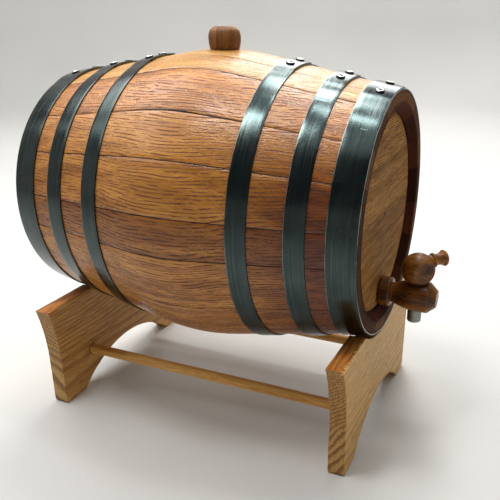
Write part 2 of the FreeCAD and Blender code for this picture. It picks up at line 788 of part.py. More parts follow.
def make_cradle(end, cradle_face, low_end, socket_from):
    """A sawn board: two feet either side of an arch, and a seat for the cask."""
    name = end + "_cradle"
    seat = seat_radius(end, cradle_face)
    top = "(%s - %s + Sizes.%s_seat_depth)" % (CASK_UP, seat, end)
    tip_half = "Sizes.%s_tip_half" % end
    foot_half = "Sizes.%s_foot_half" % end
    body = new_body(name, moved("%s - %s" % (low_end, FORWARD)))
    corner = "sqrt(%s^2 - (%s - %s)^2)" % (seat, CASK_UP, top)
    arch_centre = "((Sizes.arch_height^2 - Sizes.arch_half^2) / (2 * Sizes.arch_height))"
    sketch = body_sketch(body, name + "_outline", "YZ_Plane")
    draw_outline(sketch, [
        ("Sizes.arch_half", "0"),
        (foot_half, "0"),
        (foot_half, "Sizes.waist_height"),
        (tip_half, top),
        (corner, top),
        ("-" + corner, top),
        ("-" + tip_half, top),
        ("-" + foot_half, "Sizes.waist_height"),
        ("-" + foot_half, "0"),
        ("-Sizes.arch_half", "0"),
    ], {
        2: ("Y", "Sizes.waist_height"),
        4: ("Y", CASK_UP),
        6: ("Y", "Sizes.waist_height"),
        9: ("Y", arch_centre),
    })
    board = body.newObject("PartDesign::Pad", name + "_board")
    board.Profile = sketch
    board.setExpression("Length", "Sizes.cradle_thickness")
    doc.recompute()
    for number, side in enumerate(("-", ""), start=1):
        drill(body, "%s_socket_%d" % (name, number),
              "Sizes.dowel_radius + Sizes.dowel_clearance", "Sizes.dowel_socket",
              moved(socket_from, side + "Sizes.dowel_half_spacing",
                    "Sizes.dowel_height"), turned("y", "90"))
    keep(body)


def make_stand():
    make_cradle("front", FRONT_CRADLE_BACK, FRONT_CRADLE_BACK, "0")
    make_cradle("rear", REAR_CRADLE_FRONT,
                "-%s - Sizes.cradle_thickness" % REAR_CRADLE_FRONT,
                "Sizes.cradle_thickness - Sizes.dowel_socket")
    into = "(Sizes.dowel_socket - Sizes.dowel_end_gap)"
    for name, side in (("near_dowel", "-"), ("far_dowel", "")):
        dowel = doc.addObject("Part::Cylinder", name)
        dowel.setExpression("Radius", "Sizes.dowel_radius")
        dowel.setExpression("Height", "%s + %s + 2 * %s" % (
            FRONT_CRADLE_BACK, REAR_CRADLE_FRONT, into))
        place(dowel, moved("-%s - %s - %s" % (REAR_CRADLE_FRONT, into, FORWARD),
                           side + "Sizes.dowel_half_spacing", "Sizes.dowel_height"),
              turned("y", "90"))
        keep(dowel)


# ------------------------------------------------------------------ build and write

make_staves()
make_heads()
make_hoops()
make_bung()
make_tap_body()
make_key_stem()
make_key_ball()
make_key_handle()
make_stand()
doc.recompute()

for item in doc.Objects:
    if "Invalid" in item.State or "Error" in item.State:
        raise RuntimeError("%s failed: %s" % (item.Name, item.State))
for piece in pieces:
    if piece.Shape.isNull() or not piece.Shape.isValid():
        raise RuntimeError("%s has no valid shape" % piece.Label)

os.makedirs("parts", exist_ok=True)
for piece in pieces:
    piece.Shape.exportStep("parts/%s.step" % piece.Label)
    print("%-28s solids %d  volume %9.1f" % (
        piece.Label, len(piece.Shape.Solids), piece.Shape.Volume))
whole = Part.makeCompound([piece.Shape for piece in pieces])
print(len(pieces), "nodes in", whole.BoundBox)
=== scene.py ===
import math
import random

import bmesh
import bpy
from mathutils import Matrix, Vector, noise


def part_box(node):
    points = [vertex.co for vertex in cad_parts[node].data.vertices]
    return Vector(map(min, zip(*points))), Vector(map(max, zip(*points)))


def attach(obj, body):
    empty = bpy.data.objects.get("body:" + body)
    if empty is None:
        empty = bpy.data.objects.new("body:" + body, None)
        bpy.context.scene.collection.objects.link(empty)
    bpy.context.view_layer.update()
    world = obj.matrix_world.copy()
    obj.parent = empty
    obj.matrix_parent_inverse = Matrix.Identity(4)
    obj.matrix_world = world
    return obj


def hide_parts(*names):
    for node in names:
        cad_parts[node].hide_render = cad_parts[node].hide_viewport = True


# Oak cask liquor dispenser: the looks of a small coopered cask on a two-board stand.
# Metres.  The cask axis is along X with the tap toward +X, and Z is up.
# Angles about the cask are in degrees from the top, positive toward -Y.

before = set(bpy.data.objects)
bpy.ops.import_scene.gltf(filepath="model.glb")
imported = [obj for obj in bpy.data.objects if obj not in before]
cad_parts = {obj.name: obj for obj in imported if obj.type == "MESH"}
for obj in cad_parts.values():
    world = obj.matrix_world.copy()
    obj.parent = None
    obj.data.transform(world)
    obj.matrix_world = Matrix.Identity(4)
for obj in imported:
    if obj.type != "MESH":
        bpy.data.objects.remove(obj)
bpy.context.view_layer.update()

MM = 0.001

# ---- sizes of the cask

BILGE_RADIUS = 105 * MM
CHIME_RADIUS = 83.5 * MM
# half the length of the bent middle, past which the staves are straight
BEND_HALF = 26 * MM
STAVE_THICKNESS = 15 * MM
# the staves' flat ends, their eased corner, and the depth of the slanting wall inside them
CHIME_LAND = 9 * MM
CHIME_EDGE = 1 * MM
HEAD_RECESS = 5.5 * MM
# the groove that the heads sit in: its depth, its width, and the land before it
CROZE_DEPTH = 3 * MM
CROZE_WIDTH = 5.3 * MM
CROZE_LAND = 1.35 * MM
HOOP_THICKNESS = 0.9 * MM
HOOP_CLEARANCE = 0.05 * MM
# a hoop's climb onto its own start, and what of it lies beyond each rivet
HOOP_RAMP = 9 * MM
HOOP_END = 6.5 * MM


def union_box(*nodes):
    """Lowest and highest corner of several CAD nodes together."""
    boxes = [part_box(node) for node in nodes]
    low = Vector([min(box[0][axis] for box in boxes) for axis in range(3)])
    high = Vector([max(box[1][axis] for box in boxes) for axis in range(3)])
    return low, high


stave_low, stave_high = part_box("stave_02")
head_low, head_high = union_box("front_head_board_1", "front_head_board_4")
CASK_X = (stave_low.x + stave_high.x) / 2
CASK_Z = (head_low.z + head_high.z) / 2
CASK_HALF = (stave_high.x - stave_low.x) / 2
SLOPE = (BILGE_RADIUS - CHIME_RADIUS) / (CASK_HALF - BEND_HALF / 2)
SLANT = math.sqrt(1 + SLOPE ** 2)
BEND_RADIUS = BEND_HALF * SLANT / SLOPE
# the bung hole at the crown, and how much wider it is one stave's thickness higher
HOLE_RADIUS = 9.8 * MM
HOLE_TAPER = 0.9 * MM
DOWEL_Y = 48.5 * MM
DOWEL_Z = 32 * MM


def straight_outside(along):
    """Radius of the cone that a stave's straight part lies on."""
    return CHIME_RADIUS + (CASK_HALF - abs(along)) * SLOPE


def outside(along):
    """Radius of the staves' outside, that far along the axis from the middle."""
    if abs(along) >= BEND_HALF:
        return straight_outside(along)
    centre = straight_outside(BEND_HALF) - BEND_HALF / SLOPE
    return centre + math.sqrt(BEND_RADIUS ** 2 - along ** 2)


CROWN = CASK_Z + outside(0)


def on_cask(along, radius, angle):
    """The point at that place along the axis, radius and angle in degrees."""
    turn = math.radians(angle)
    return Vector((CASK_X + along, -radius * math.sin(turn), CASK_Z + radius * math.cos(turn)))


def angle_of(point):
    """Angle of a point about the cask."""
    return math.degrees(math.atan2(-point.y, point.z - CASK_Z))


def angles_of(node):
    """Angles of a node's points, unrolled about their own middle direction."""
    found = [angle_of(vertex.co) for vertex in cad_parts[node].data.vertices]
    x = sum(math.cos(math.radians(a)) for a in found)
    y = sum(math.sin(math.radians(a)) for a in found)
    middle = math.degrees(math.atan2(y, x))
    return [middle + (a - middle + 180) % 360 - 180 for a in found]


# ---- finish tools

def set_stops(ramp, stops):
    """Give a ramp its stops, each a position and a colour."""
    while len(ramp.elements) < len(stops):
        ramp.elements.new(1.0)
    for element, (position, colour) in zip(ramp.elements, stops):
        element.position = position
        element.color = colour


def add_node(tree, kind, settings, inputs):
    """Add a node: its settings first, then the values or links of its sockets."""
    made = tree.nodes.new(kind)
    for key, value in (settings or {}).items():
        if key == "stops":
            set_stops(made.color_ramp, value)
        else:
            setattr(made, key, value)
    for key, value in (inputs or {}).items():
        socket = next(s for s in made.inputs if key in (s.identifier, s.name))
        if isinstance(value, Flow):
            value = value.socket
        if isinstance(value, bpy.types.NodeSocket):
            tree.links.new(value, socket)
        else:
            socket.default_value = value
    return made


class Flow:
    """A value on its way through the nodes of one finish; sums on it add Math nodes."""

    def __init__(self, finish, socket):
        self.finish = finish
        self.socket = socket

    def through(self, operation, other=0.0):
        """This value after a Math node of that operation, which may take another one."""
        return self.finish.math(operation, self, other)

    def __add__(self, other):
        return self.through("ADD", other)

    def __sub__(self, other):
        return self.through("SUBTRACT", other)

    def __mul__(self, other):
        return self.through("MULTIPLY", other)

    def __truediv__(self, other):
        return self.through("DIVIDE", other)

    def __pow__(self, other):
        return self.through("POWER", other)

    def __rsub__(self, other):
        return self.finish.math("SUBTRACT", other, self)

    def __rtruediv__(self, other):
        return self.finish.math("DIVIDE", other, self)

    def __rpow__(self, other):
        return self.finish.math("POWER", other, self)

    __radd__ = __add__
    __rmul__ = __mul__

    def __abs__(self):
        return self.through("ABSOLUTE")


class Finish:
    """One finish, written as a material."""

    def __init__(self, name):
        self.material = bpy.data.materials.new(name)
        self.material.use_nodes = True
        self.tree = self.material.node_tree
        self.tree.nodes.clear()

    def node(self, kind, settings=None, inputs=None, out=None):
        """Add a node, and give its output of that name, or else its first one."""
        made = add_node(self.tree, "ShaderNode" + kind, settings, inputs)
        return Flow(self, next(s for s in made.outputs if s.enabled and out in (None, s.name)))

    def math(self, operation, first, second):
        return self.node("Math", {"operation": operation},
                         {"Value": first, "Value_001": second})

    def place(self):
        """Object coordinates."""
        return self.node("TexCoord", out="Object")

    def kept(self, name, out="Fac"):
        """What a mesh keeps under that name: a number, or its Vector."""
        return self.node("Attribute", {"attribute_name": name}, out=out)

    def parts(self, vector):
        """The X, Y and Z of a vector."""
        split = self.node("SeparateXYZ", None, {"Vector": vector})
        made = split.socket.node
        return [Flow(self, made.outputs[axis]) for axis in range(3)]

    def vector(self, x, y, z):
        return self.node("CombineXYZ", None, {"X": x, "Y": y, "Z": z})

    def mix(self, share, first, second, way="MIX"):
        """A colour between two, or the first one worked on by the second."""
        return self.node("Mix", {"data_type": "RGBA", "blend_type": way}, {
            "Factor_Float": share, "A_Color": first, "B_Color": second})

    def noise(self, vector, sizes, detail=2.0, roughness=0.5):
        """Noise whose cells have that size in millimetres in each direction."""
        cells = self.node("VectorMath", {"operation": "MULTIPLY"}, {
            "Vector": vector, "Vector_001": [1 / (size * MM) for size in sizes]})
        return self.node("TexNoise", None, {
            "Vector": cells, "Scale": 1.0, "Detail": detail, "Roughness": roughness})

    def tinted(self, colour, tint):
        return self.mix(1.0, colour, tint, "MULTIPLY")

    def ramp(self, value, *stops):
        return self.node("ValToRGB", {"stops": stops}, {"Fac": value})

    def step(self, value, low, high, start=0.0, end=1.0):
        """Smooth change from start to end as the value goes from low to high."""
        return self.node("MapRange", {"interpolation_type": "SMOOTHSTEP"}, {
            "Value": value, "From Min": low, "From Max": high,
            "To Min": start, "To Max": end})

    def bump(self, height, depth):
        """Normal of a relief whose height of one is that depth in millimetres."""
        return self.node("Bump", None, {
            "Height": height, "Strength": 1.0, "Distance": depth * MM})

    def surface(self, **sockets):
        """Close the finish with a shader that has these sockets."""
        inputs = {name.replace("_", " "): value for name, value in sockets.items()}
        shader = self.node("BsdfPrincipled", None, inputs)
        add_node(self.tree, "ShaderNodeOutputMaterial", None, {"Surface": shader})
        return self.material


def shade(red, green, blue):
    """A colour as seen, 0 to 255, as the light that a finish works in."""
    def linear(value):
        value /= 255
        return value / 12.92 if value <= 0.04045 else ((value + 0.055) / 1.055) ** 2.4
    return linear(red), linear(green), linear(blue), 1.0


# ---- wood grain

# rows of long pores: how far apart, how far they wander and ripple, and how they lean
PORE_PITCH = 2.4 * MM
PORE_WANDER = 10 * MM
PORE_RIPPLE = 4.5 * MM
PORE_LEAN = 0.6
# what the colour is multiplied by in a pore
PORE_SHADE = (0.3, 0.18, 0.1, 1.0)
BOARD_PORE_SHADE = (0.45, 0.34, 0.26, 1.0)
# the compass prick in the front head: its Y and Z, and where its dark spot starts and is full
PRICK = (-1.2 * MM, 163.5 * MM)
PRICK_EDGE = (1.9 * MM, 0.9 * MM)
HEAD_PORE_PITCH = 1.8 * MM
# in millimetres: the tool's rings on turned wood, and how far each runs on
RING_PITCH, RING_RUN = 0.6, 1000


def oak_grain(finish, grain, light, middle, dark, pores=1.0, pitch=PORE_PITCH, wavy=1.0):
    """Colour, relief and pores of sawn oak, along the first part of grain.

    The long pores lie in broken wavy rows, that far apart, with fine ones between.
    """
    wander = finish.noise(grain, (80, 30, 30), 1.0)
    ripple = finish.noise(grain, (40, 10, 10), 1.0)
    along, across, deep = finish.parts(grain)
    bend = wander * (PORE_WANDER * wavy) + ripple * (PORE_RIPPLE * wavy)
    bent = finish.vector(along, across + bend, deep)
    bent_across = finish.parts(bent)[1] + deep * PORE_LEAN
    bands = finish.noise(bent, (250, 8, 8))
    fibre = finish.noise(bent, (30, 0.6, 0.6), 2.0, 0.55)
    row = abs((bent_across / pitch).through("FRACT") - 0.5) * 2.0
    broken = finish.noise(bent, (16, 2.1, 2.1), 3.0, 0.65)
    long_pore = finish.step(row - broken * 0.5, 0.2, -0.16) * finish.step(broken, 0.4, 0.54)
    short = finish.noise(bent, (11, 0.9, 0.9))
    pore = long_pore.through("MAXIMUM", finish.step(short, 0.58, 0.7) * 0.5) * pores
    colour = finish.ramp(bands * 0.65 + fibre * 0.4, (0.38, dark), (0.53, middle), (0.68, light))
    pitted = finish.tinted(colour, PORE_SHADE)
    colour = finish.mix(pore * 0.95, colour, pitted)
    return colour, fibre * 0.5 - pore * 0.7, pore


def stave_oak():
    """Bent staves: golden to red-brown oak under a thin varnish."""
    finish = Finish("stave_oak")
    grain = finish.kept("grain", "Vector")
    streak = finish.noise(grain, (70, 7, 7))
    tone = finish.kept("tone") + (streak - 0.5) * 0.6
    warmth, side, crack, soot, stain = [
        finish.kept(name) for name in ("warmth", "side", "crack", "soot", "stain")]
    colour, relief, pore = oak_grain(
        finish, grain, shade(216, 156, 80), shade(190, 129, 56), shade(148, 94, 34))
    pale = finish.mix(0.32, colour, shade(232, 186, 112))
    deep = finish.tinted(colour, shade(188, 162, 104))
    warm = finish.tinted(colour, shade(238, 208, 160))
    colour = finish.mix(warmth * 0.6, colour, warm)
    colour = finish.mix(finish.step(tone, 0.5, 1.0), colour, pale)
    colour = finish.mix(finish.step(tone, 0.5, 0.0), colour, deep)
    fleck = finish.noise(grain, (4, 1.6, 1.6), 1.0)
    colour = finish.mix(finish.step(fleck, 0.79, 0.83, 0.0, 0.6), colour, shade(226, 196, 150))
    # darker toward the front chime on the lower staves
    darkened_front = finish.tinted(colour, shade(168, 132, 70))
    colour = finish.mix(stain, colour, darkened_front)
    ragged = finish.noise(grain, (20, 4, 4), 3.0)
    gap = side - ragged * (0.9 * MM) - crack * (1.1 * MM)
    tight = finish.noise(grain, (50, 50, 50), 1.0)
    joint = finish.step(gap, 0.1 * MM, -0.3 * MM) * finish.step(tight, 0.35, 0.6, 0.5, 1.0)
    colour = finish.mix(joint, colour, shade(40, 20, 12))
    # painted shadow: a near-black line along each hoop edge on the staves
    colour = finish.mix(finish.step(soot + ragged * 0.3, 0.55, 1.15), colour, shade(16, 10, 8))
    speck = finish.noise(grain, (1.4, 0.9, 0.9))
    roughness = finish.step(pore * 0.6 + speck * 0.4, 0.2, 0.8, 0.27, 0.72)
    return finish.surface(Base_Color=colour, Roughness=roughness,
                          Normal=finish.bump(relief * 0.5 + speck, 0.18))


def chime_oak():
    """Cut stave ends: dull dark end grain, with painted shade making the sunk wall darker still.
    """
    finish = Finish("chime_oak")
    grain = finish.kept("grain", "Vector")
    pits = finish.noise(grain, (4, 0.9, 0.9), 3.0, 0.6)
    lathe = finish.noise(grain, (1.2, 30, 0.6))
    tone = pits * 0.6 + lathe * 0.4
    colour = finish.ramp(tone, (0.36, shade(70, 44, 26)), (0.64, shade(134, 90, 54)))
    # painted shade: the sunk wall inside the chime is darkened
    wall = finish.tinted(colour, shade(176, 132, 116))
    colour = finish.mix(finish.step(finish.kept("end_grain"), 1.2, 2.0), colour, wall)
    dull = finish.tinted(colour, shade(160, 150, 146))
    colour = finish.mix(finish.step(finish.kept("tone"), 0.3, 0.65), dull, colour)
    gap = finish.kept("side") - pits * (0.6 * MM)
    joint = finish.step(gap, 0.2 * MM, -0.2 * MM, 0.0, 0.7)
    colour = finish.mix(joint, colour, shade(24, 14, 10))
    return finish.surface(Base_Color=colour, Roughness=finish.step(pits, 0.3, 0.7, 0.75, 0.9),
                          Normal=finish.bump(tone, 0.3), Specular_IOR_Level=0.08)


def hoop_steel():
    """Strip steel under a dark blue-green lacquer, brushed round the cask."""
    finish = Finish("hoop_steel")
    strip = finish.kept("strip", "Vector")
    rim = finish.kept("rim")
    brushed = finish.noise(strip, (80, 0.5, 10), 3.0, 0.65)
    patches = finish.noise(strip, (30, 20, 10), 3.0, 0.6)
    tone = brushed * 0.68 + patches * 0.32
    colour = finish.ramp(tone, (0.3, shade(46, 56, 56)), (0.5, shade(60, 71, 70)),
                         (0.7, shade(88, 98, 95)))
    worn = finish.noise(strip, (12, 10, 10))
    # pale rim along the hoop edges: partly wear, partly painted highlight, stronger on the first
    # edge
    bright = finish.step(rim, 0.5, 1.0) * finish.step(worn, 0.35, 0.65, 0.15, 0.6)
    colour = finish.mix(bright, colour, shade(168, 174, 170))
    roughness = finish.step(tone, 0.3, 0.7, 0.15, 0.27) + bright * 0.5
    return finish.surface(Base_Color=colour, Metallic=1.0, Roughness=roughness,
                          Normal=finish.bump(brushed, 0.03))


def rivet_steel():
    """Zinc on the rivets, bright on the crests and dull in the hollows."""
    finish = Finish("rivet_steel")
    crest = finish.kept("crest")
    spots = finish.noise(finish.place(), (1.2, 1.2, 1.2))
    worn = finish.step(crest + spots * 0.5, 0.5, 1.1)
    colour = finish.mix(worn, shade(46, 50, 50), shade(206, 208, 204))
    return finish.surface(Base_Color=colour, Metallic=1.0,
                          Roughness=finish.step(worn, 0.0, 1.0, 0.5, 0.24),
                          Normal=finish.bump(spots, 0.08))


def grain_order(finish, axis):
    """Object coordinates with the first part along that axis."""
    parts = finish.parts(finish.place())
    return finish.vector(*[parts[(axis + k) % 3] for k in range(3)])


def head_oak():
    """Heads: dry sawn boards with fine close lines, with a compass prick in the front one."""
    finish = Finish("head_oak")
    grain = grain_order(finish, 1)
    colour, relief, pore = oak_grain(finish, grain, shade(176, 130, 66), shade(154, 108, 50),
                                     shade(122, 82, 32), 1.2, HEAD_PORE_PITCH, 0.45)
    x, y, z = finish.parts(finish.place())
    away = ((y - PRICK[0]) ** 2.0 + (z - PRICK[1]) ** 2.0) ** 0.5
    prick = finish.step(away, *PRICK_EDGE) * finish.step(x, 0.0, 20 * MM)
    colour = finish.mix(prick, colour, shade(46, 26, 14))
    return finish.surface(Base_Color=colour, Normal=finish.bump(relief, 0.15),
                          Roughness=finish.step(pore, 0.0, 1.0, 0.7, 0.85),
                          Specular_IOR_Level=0.12)


def turned_wood(name, axis, light, middle, dark, roughness, coat, pores, ringed=0.3):
    """Close wood turned about an axis, with the tool's fine rings left in it."""
    finish = Finish(name)
    colour, relief, pore = oak_grain(finish, grain_order(finish, axis),
                                     light, middle, dark, pores)
    fine = [RING_PITCH if k == axis else RING_RUN for k in range(3)]
    rings = finish.noise(finish.place(), fine, 3.0)
    colour = finish.mix(finish.step(rings, 0.55, 0.75, 0.0, ringed), colour, dark)
    return finish.surface(Base_Color=colour, Normal=finish.bump(relief + rings, 0.08),
                          Roughness=finish.step(pore, 0.0, 1.0, *roughness),
                          Coat_Weight=coat, Coat_Roughness=0.2, Specular_IOR_Level=0.26)


# the boards' growth rings: their middle's place out and below, and how they crowd and count
PITH_OUT = 190 * MM
PITH_BELOW = 60 * MM
RING_CROWDING = 5.0
RING_COUNT = 140000.0
# a dark dash on the outer face of the front board: its Y and Z, half width and half height,
# and the X where it begins to show and is full
DASH = (54 * MM, 42 * MM)
DASH_HALF = (0.9 * MM, 4.2 * MM)
DASH_FACE = (100 * MM, 105 * MM)
# the X and Z of the front board's edge that the saw tore, and the reach of its splinters
TORN_EDGE = (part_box("front_cradle")[1].x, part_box("front_cradle")[1].z)
SPLINTER = 8 * MM
# the inner face of the rear board, where the dowels' holes show dark round them
REAR_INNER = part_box("rear_cradle")[1].x
HOLE_EDGE = (5.6 * MM, 4.6 * MM)


def stand_oak():
    """Light oak boards: growth rings run along them and curve across their ends."""
    finish = Finish("stand_oak")
    place = finish.place()
    x, y, z = finish.parts(place)
    wander = finish.noise(place, (30, 100, 30))
    ripple = finish.noise(place, (4, 60, 4))
    side, up = abs(x) - PITH_OUT, z + PITH_BELOW
    growth = (side * side + up * up) ** 0.5 + wander * (10 * MM) + ripple * (2.5 * MM)
    ring = (growth ** RING_CROWDING * RING_COUNT).through("FRACT")
    late = finish.step(ring, 0.3, 0.85) * finish.step(ring, 1.0, 0.92)
    fibre = finish.noise(place, (0.7, 30, 0.7), 3.0, 0.6)
    pore = finish.step(finish.noise(place, (0.8, 8, 0.8)), 0.52, 0.66)
    cut_top = finish.kept("cut_top")
    cut_end = finish.step(finish.kept("cut_end"), 0.5, 0.95)
    upright = finish.noise(place, (0.8, 2, 6), 3.0, 0.65)
    low_down = finish.step(z, 45 * MM, 20 * MM, 0.12, 0.46)
    tone = fibre * 0.8 + (0.5 - late) * (0.15 + cut_end * low_down)
    tone = tone + (upright - 0.5) * cut_end * 0.8
    colour = finish.ramp(tone, (0.3, shade(164, 112, 50)), (0.48, shade(206, 154, 80)),
                         (0.66, shade(230, 184, 110)))
    pitted = finish.tinted(colour, BOARD_PORE_SHADE)
    colour = finish.mix(pore * 0.38, colour, pitted)
    orange = finish.tinted(colour, shade(244, 196, 140))
    colour = finish.mix(finish.step(cut_top, 0.6, 0.95, 0.0, 0.8), colour, orange)
    dim = finish.tinted(colour, shade(180, 168, 126))
    colour = finish.mix(cut_end * 0.62, colour, dim)
    # painted fill light: the front board's outer face is lightened
    faded = finish.step(finish.kept("faded"), 0.0, 1.0, 0.0, 0.16)
    colour = finish.mix(faded, colour, shade(242, 208, 124))
    hole = ((abs(y) - DOWEL_Y) ** 2.0 + (z - DOWEL_Z) ** 2.0) ** 0.5
    ragged = finish.noise(place, (2, 2, 2))
    rear = finish.step(x, 0.0, -20 * MM)
    inner = finish.step(x, REAR_INNER - 3 * MM, REAR_INNER - 2 * MM) * rear
    mark = finish.step(hole + ragged * (1.2 * MM), *HOLE_EDGE) * inner
    stroke = ((y - DASH[0]) / DASH_HALF[0]) ** 2.0 + ((z - DASH[1]) / DASH_HALF[1]) ** 2.0
    dash = finish.step(stroke, 1.4, 0.5) * finish.step(x, *DASH_FACE)
    mark = mark.through("MAXIMUM", dash)
    colour = finish.mix(mark, colour, shade(52, 30, 18))
    reach = finish.noise(place, (3, 1.3, 3), 1.0) * SPLINTER
    splinter = finish.step(TORN_EDGE[0] - x - reach, -2.6 * MM, -3.4 * MM)
    splinter = splinter * finish.step(TORN_EDGE[1] - z - reach, -2.2 * MM, -3 * MM)
    colour = finish.mix(splinter, colour, shade(230, 182, 108))
    saw = finish.noise(place, (20, 1.2, 50), 2.0, 0.6)
    return finish.surface(Base_Color=colour, Roughness=finish.step(pore, 0.0, 1.0, 0.5, 0.7),
                          Normal=finish.bump(fibre * 0.6 - pore * 0.6 + saw * 0.5, 0.2))


def tube_metal():
    """The spout tube: dull drawn metal."""
    finish = Finish("tube_metal")
    marks = finish.noise(finish.place(), (2, 2, 0.4))
    colour = finish.ramp(marks, (0.3, shade(112, 116, 112)), (0.7, shade(158, 160, 154)))
    return finish.surface(Base_Color=colour, Metallic=1.0,
                          Roughness=finish.step(marks, 0.3, 0.7, 0.5, 0.36),
                          Normal=finish.bump(marks, 0.04))


def floor_paint():
    """A plain pale floor with a barely uneven sheen."""
    finish = Finish("pale_floor")
    cloud = finish.noise(finish.place(), (400, 400, 400))
    colour = finish.ramp(cloud, (0.3, shade(200, 199, 195)), (0.7, shade(205, 204, 200)))
    return finish.surface(Base_Color=colour, Roughness=0.55)


# ---- mesh tools

def ring_of(radius, height, around=40):
    """Points once round Z at that radius and height."""
    return [(radius * math.cos(2 * math.pi * k / around),
             radius * math.sin(2 * math.pi * k / around), height) for k in range(around)]


def faces_between(rings, capped=True):
    """Faces between closed rings of equal length, whose points follow one another."""
    size = len(rings[0])
    faces = []
    for number in range(len(rings) - 1):
        a, b = number * size, (number + 1) * size
        for k in range(size):
            following = (k + 1) % size
            faces.append((a + k, a + following, b + following, b + k))
    if capped:
        faces.append(tuple(range(size)))
        faces.append(tuple(range((len(rings) - 1) * size, len(rings) * size)))
    return faces


def lofted(name, rings):
    """A closed mesh over rings of points, whose faces all look outward."""
    mesh = bpy.data.meshes.new(name)
    points = [tuple(point) for ring in rings for point in ring]
    mesh.from_pydata(points, [], faces_between(rings))
    mesh.update()
    work = bmesh.new()
    work.from_mesh(mesh)
    bmesh.ops.recalc_face_normals(work, faces=work.faces)
    work.to_mesh(mesh)
    work.free()
    return mesh


def linked(name, mesh):
    """A new object of that mesh, in the scene."""
    made = bpy.data.objects.new(name, mesh)
    bpy.context.scene.collection.objects.link(made)
    return made


def as_plain(name, made):
    """The mesh of an object with its modifiers worked out; the object is taken away."""
    ready = made.evaluated_get(bpy.context.evaluated_depsgraph_get())
    mesh = bpy.data.meshes.new_from_object(ready)
    source = made.data
    bpy.data.objects.remove(made)
    bpy.data.meshes.remove(source)
    mesh.name = name
    return mesh


def bored(mesh, space):
    """The mesh with the space cut out of it."""
    name = mesh.name
    blank, cutter = linked(name + "_blank", mesh), linked(name + "_cutter", space)
    cut = blank.modifiers.new("bore", "BOOLEAN")
    cut.object = cutter
    cut.solver = "EXACT"
    cut_mesh = as_plain(name, blank)
    bpy.data.objects.remove(cutter)
    return cut_mesh


def new_piece(mesh, body, material, sharp=35):
    """A finished mesh in place, riding on a body; edges over that angle stay crisp."""
    mesh.materials.clear()
    mesh.materials.append(material)
    mesh.shade_smooth()
    mesh.set_sharp_from_angle(angle=math.radians(sharp))
    piece = linked(mesh.name, mesh)
    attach(piece, body)
    return piece


def keep_on(piece, name, values, kind="FLOAT", domain="POINT"):
    """Write one value for each point or face of a piece under that name."""
    kept = piece.data.attributes.new(name, kind, domain)
    if kind == "FLOAT":
        kept.data.foreach_set("value", values)
    else:
        kept.data.foreach_set("vector", [part for value in values for part in value])


# ---- staves

# tone and warmth of the staves from the bung stave round by the -Y side, the first two pale
STAVE_TONES = [0.84, 0.84, 0.42, 0.53, 0.34, 0.14, 0.4, 0.32, 0.4,
               0.6, 0.4, 0.5, 0.35, 0.55, 0.3, 0.6, 0.45, 0.7]
STAVE_WARMTH = [0.1, 0.2, 0.85, 0.45, 0.3, 0.3, 0.5, 0.4, 0.5,
                0.3, 0.6, 0.4, 0.6, 0.3, 0.7, 0.3, 0.5, 0.3]
# stations along each half of a stave, and degrees from one line of its points to the next
STAVE_STATIONS = 28
STAVE_STEP = 1.6
# the eased edge of a stave's outside, and its curve in shares of that across and down
SEAM_ROUND = 0.45 * MM
SEAM_CURVE = [(0.0, 1.0), (0.35, 0.3), (1.0, 0.0)]
# how far a stave may lie below its neighbours
SET_BACK = 0.12 * MM
# points closer than this are at the same place
CLOSE = 0.3 * MM
# the painted shadow line beside a hoop: half its width
HOOP_SHADOW = 0.8 * MM
# the lower staves darken toward the front chime: where that starts and over what length,
# and the same in degrees down from the top
DARKEN_FROM = 45 * MM
DARKEN_OVER = 45 * MM
DARKEN_BELOW = 38
DARKEN_TURN = 30
# the joint below this stave has opened: places along it in mm, and how wide there
CRACKED = 3
CRACK = [(-36, 0.0), (-14, 0.6), (9, 1.0), (12, 1.0), (13, 0.0), (23, 0.0), (24, 0.8), (34, 0.5),
         (48, 0.2), (60, 0.0)]
HOOPS = ["%s_%s_hoop" % (end, name)
         for end in ("front", "rear") for name in ("head", "quarter", "bilge")]


def hoop_edges():
    """Places along the cask of the edges of all its hoops."""
    return [corner.x - CASK_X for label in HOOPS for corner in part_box(label)]


def stave_section():
    """Closed half section of the wall: places along and radii, outside first."""
    edges = hoop_edges()
    last = CASK_HALF - CHIME_EDGE
    stations = {round(k * last / STAVE_STATIONS, 6)
                for k in range(-STAVE_STATIONS, STAVE_STATIONS + 1)}
    stations = {s for s in stations if all(abs(s - e) > 1.5 * HOOP_SHADOW for e in edges)}
    stations |= {round(e + side * HOOP_SHADOW, 6) for e in edges for side in (-1, 0, 1)}
    stations = {s for s in stations if abs(s) < last - 0.1 * MM} | {-last, last}
    outer = [(s, outside(s)) for s in sorted(stations)]
    back = CASK_HALF - HEAD_RECESS
    inside_radius = outside(back) - STAVE_THICKNESS * SLANT
    floor = inside_radius + CROZE_DEPTH
    front = back - CROZE_LAND
    rear = front - CROZE_WIDTH
    end = [
        (CASK_HALF, CHIME_RADIUS - CHIME_EDGE),
        (CASK_HALF, CHIME_RADIUS - CHIME_LAND / 2),
        (CASK_HALF, CHIME_RADIUS - CHIME_LAND),
        (back, inside_radius),
        (front, inside_radius),
        (front, floor),
        (rear, floor),
        (rear, inside_radius),
    ]
    inner = [(s * MM, outside(s * MM) - STAVE_THICKNESS * SLANT)
             for s in (100, 80, 55, 30, 0, -30, -55, -80, -100)]
    return outer, end + inner + [(-x, r) for x, r in reversed(end)]


